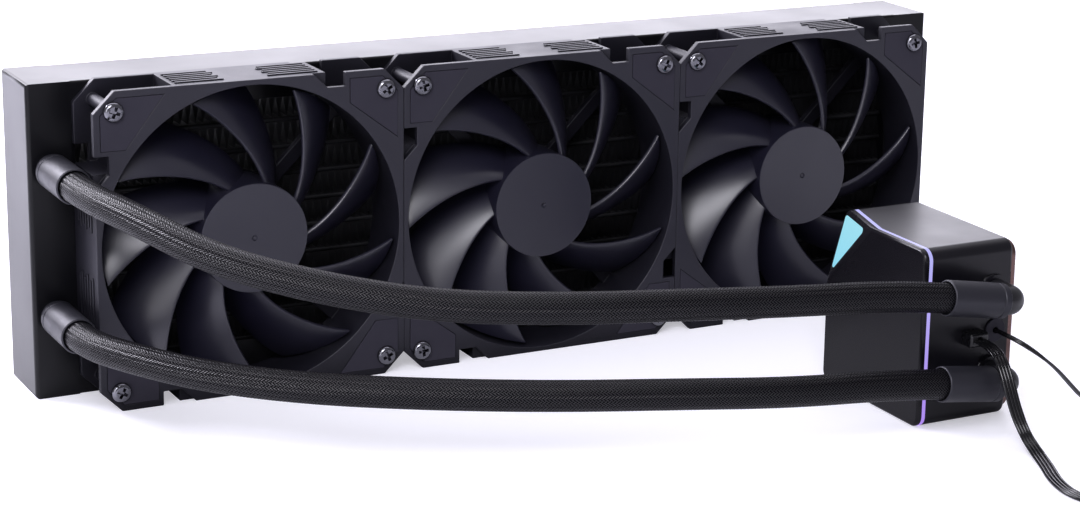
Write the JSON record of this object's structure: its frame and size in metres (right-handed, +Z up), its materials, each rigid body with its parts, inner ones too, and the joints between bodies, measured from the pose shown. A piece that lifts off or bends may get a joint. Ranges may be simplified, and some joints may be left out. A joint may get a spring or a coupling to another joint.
{
  "type": "all in one cpu liquid cooler",
  "caption": "Closed liquid cooler for a processor: radiator with a row of fans, braided hoses and a pump block with a cold plate, standing on its long edge.",
  "frame": {"origin": "middle of the radiator's lower long face, on the table that the cooler stands on", "axes": "+X along the radiator towards the pump block's end, +Y from the fans through the radiator, +Z up"},
  "size_m": [0.4034, 0.3197, 0.12],
  "materials": {
    "radiator_black": "satin",
    "fan_frame_black": "matte",
    "fan_blade_grey": "satin",
    "pad_rubber": "matte",
    "screw_steel": "satin",
    "shaft_steel": "polished",
    "bearing_bronze": "satin",
    "motor_winding": "satin",
    "hose_braid": "matte",
    "ferrule_grey": "satin",
    "pump_black": "satin",
    "display_black": "gloss",
    "light_guide": "gloss",
    "light_window": "gloss",
    "cold_plate_copper": "satin",
    "circuit_green": "gloss",
    "cable_jacket": "satin",
    "connector_black": "satin"
  },
  "bodies": {
    "root": {"radiator_left_tank": "radiator_black", "radiator_right_tank": "radiator_black", "radiator_headers": "radiator_black", "radiator_upper_rail": "radiator_black", "radiator_lower_rail": "radiator_black", "radiator_tubes": "radiator_black", "radiator_fins": "radiator_black", "tank_fitting_upper": "ferrule_grey", "tank_ferrule_upper": "ferrule_grey", "hose_upper": "hose_braid", "tank_fitting_lower": "ferrule_grey", "tank_ferrule_lower": "ferrule_grey", "hose_lower": "hose_braid", "fan_1_frame": "fan_frame_black", "fan_1_corner_pads": "pad_rubber", "fan_1_bearing": "bearing_bronze", "fan_1_stator": "motor_winding", "fan_1_screws": "screw_steel", "fan_2_frame": "fan_frame_black", "fan_2_corner_pads": "pad_rubber", "fan_2_bearing": "bearing_bronze", "fan_2_stator": "motor_winding", "fan_2_screws": "screw_steel", "fan_3_frame": "fan_frame_black", "fan_3_corner_pads": "pad_rubber", "fan_3_bearing": "bearing_bronze", "fan_3_stator": "motor_winding", "fan_3_screws": "screw_steel", "pump_display_cap": "display_black", "pump_light_window": "light_window", "pump_light_ring": "light_guide", "pump_housing": "pump_black", "pump_chamber": "pump_black", "pump_gasket": "pad_rubber", "pump_shaft": "shaft_steel", "pump_stator": "motor_winding", "pump_board": "circuit_green", "pump_cold_plate": "cold_plate_copper", "pump_plate_screws": "screw_steel", "cable_grommet": "pad_rubber", "ribbon_plug": "connector_black", "cable_lead": "cable_jacket", "cable_ribbon": "cable_jacket", "cable_lead_coil": "cable_jacket", "cable_ribbon_coil": "cable_jacket", "lead_connector": "connector_black", "ribbon_connector": "connector_black"},
    "fan_1_rotor": {"fan_1_rotor": "fan_blade_grey", "fan_1_shaft": "shaft_steel"},
    "fan_2_rotor": {"fan_2_rotor": "fan_blade_grey", "fan_2_shaft": "shaft_steel"},
    "fan_3_rotor": {"fan_3_rotor": "fan_blade_grey", "fan_3_shaft": "shaft_steel"},
    "impeller": {"pump_impeller": "pump_black"},
    "elbow_upper": {"elbow_upper": "ferrule_grey", "pump_ferrule_upper": "ferrule_grey"},
    "elbow_lower": {"elbow_lower": "ferrule_grey", "pump_ferrule_lower": "ferrule_grey"}
  },
  "joints": [
    {"name": "fan_1_spin", "type": "hinge", "parent": "root", "child": "fan_1_rotor", "pos_m": [-0.12, -0.02875, 0.06], "axis": [0, 1, 0], "continuous": true},
    {"name": "fan_2_spin", "type": "hinge", "parent": "root", "child": "fan_2_rotor", "pos_m": [0, -0.02875, 0.06], "axis": [0, 1, 0], "continuous": true},
    {"name": "fan_3_spin", "type": "hinge", "parent": "root", "child": "fan_3_rotor", "pos_m": [0.12, -0.02875, 0.06], "axis": [0, 1, 0], "continuous": true},
    {"name": "impeller_spin", "type": "hinge", "parent": "root", "child": "impeller", "pos_m": [0.107, -0.15165, 0.03405], "axis": [1, 0, 0], "continuous": true},
    {"name": "elbow_upper_swivel", "type": "hinge", "parent": "root", "child": "elbow_upper", "pos_m": [0.1142, -0.19, 0.049], "axis": [0, 1, 0], "range_deg": [-12, 12], "deforming": ["hose_upper"]},
    {"name": "elbow_lower_swivel", "type": "hinge", "parent": "root", "child": "elbow_lower", "pos_m": [0.1142, -0.19, 0.0175], "axis": [0, 1, 0], "range_deg": [-12, 12], "deforming": ["hose_lower"]}
  ]
}
